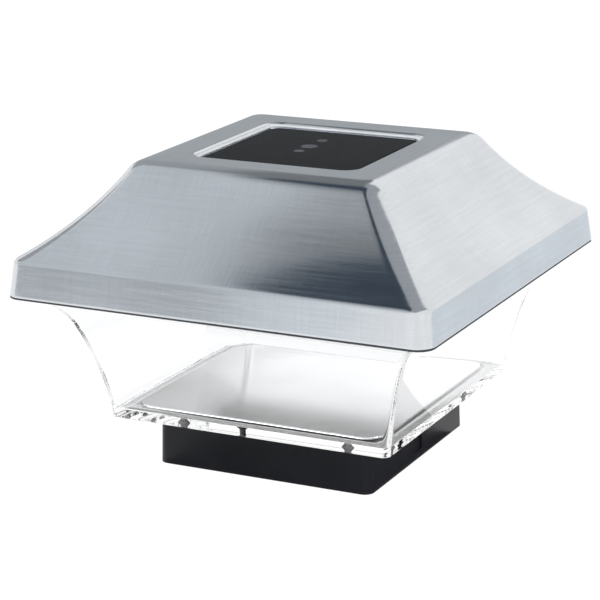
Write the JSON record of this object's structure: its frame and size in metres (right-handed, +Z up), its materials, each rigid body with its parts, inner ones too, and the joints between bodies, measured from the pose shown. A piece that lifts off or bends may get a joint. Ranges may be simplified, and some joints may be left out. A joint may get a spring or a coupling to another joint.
{
  "type": "deck post cap light",
  "caption": "Solar light for the top of a square deck post: flared brushed steel cap with a solar panel, over a clear flared lens with a mirror floor and a black socket collar.",
  "frame": {"origin": "centre of the collar's bottom edge", "axes": "+Z up along the post, -Y towards the wide face in view, +X to its right"},
  "size_m": [0.1778, 0.1778, 0.1245],
  "materials": {
    "black_abs": "satin moulded",
    "inner_plastic": "satin moulded",
    "clear_plastic": "clear polished",
    "bright_screw": "bright plated",
    "foam_tape": "soft foam",
    "mirror": "polished",
    "brushed_steel": "brushed parallel to the rim",
    "circuit_laminate": "solder masked laminate",
    "silicon": "etched silicon",
    "solder_white": "tinned",
    "dark_resin": "glossy poured resin",
    "black_rubber": "soft",
    "battery_sleeve": "printed sleeve, bare",
    "chip_black": "moulded",
    "copper": "enamelled wire",
    "capacitor_sleeve": "shrink sleeve",
    "white_plastic": "moulded",
    "led_yellow": "phosphor",
    "red_insulation": "soft sleeve",
    "black_insulation": "soft sleeve"
  },
  "bodies": {
    "base": {"post_socket": "black_abs", "lens_tray": "clear_plastic", "base_screws": "bright_screw", "mirror_pads": "foam_tape", "mirror_plate": "mirror"},
    "cap": {"steel_cap": "brushed_steel", "rim_trim": "black_rubber", "panel_tape": "foam_tape", "panel_board": "circuit_laminate", "solar_cells": "silicon", "panel_pads": "solder_white", "panel_resin": "dark_resin", "lead_grommet": "black_rubber", "light_tray": "inner_plastic", "rim_gasket": "black_rubber", "housing_cover": "inner_plastic", "housing_screws": "bright_screw", "battery_cell": "battery_sleeve", "battery_contact": "bright_screw", "battery_spring": "bright_screw", "circuit_board": "circuit_laminate", "control_chip": "chip_black", "choke_coil": "copper", "capacitor": "capacitor_sleeve", "lead_socket": "white_plastic", "led_emitter": "led_yellow", "lamp_lens": "clear_plastic", "switch_body": "chip_black", "panel_lead_plus": "red_insulation", "panel_lead_minus": "black_insulation"},
    "door": {"battery_door": "inner_plastic"},
    "knob": {"switch_knob": "black_abs"}
  },
  "joints": [
    {"name": "cap_lift", "type": "slide", "parent": "base", "child": "cap", "axis": [0, 0, 1], "range_m": [0, 0.08]},
    {"name": "battery_door_hinge", "type": "hinge", "parent": "cap", "child": "door", "pos_m": [0, 0.0257, 0.0844], "axis": [1, 0, 0], "range_deg": [0, 85]},
    {"name": "switch_slide", "type": "slide", "parent": "cap", "child": "knob", "axis": [1, 0, 0], "range_m": [0, 0.003]}
  ]
}
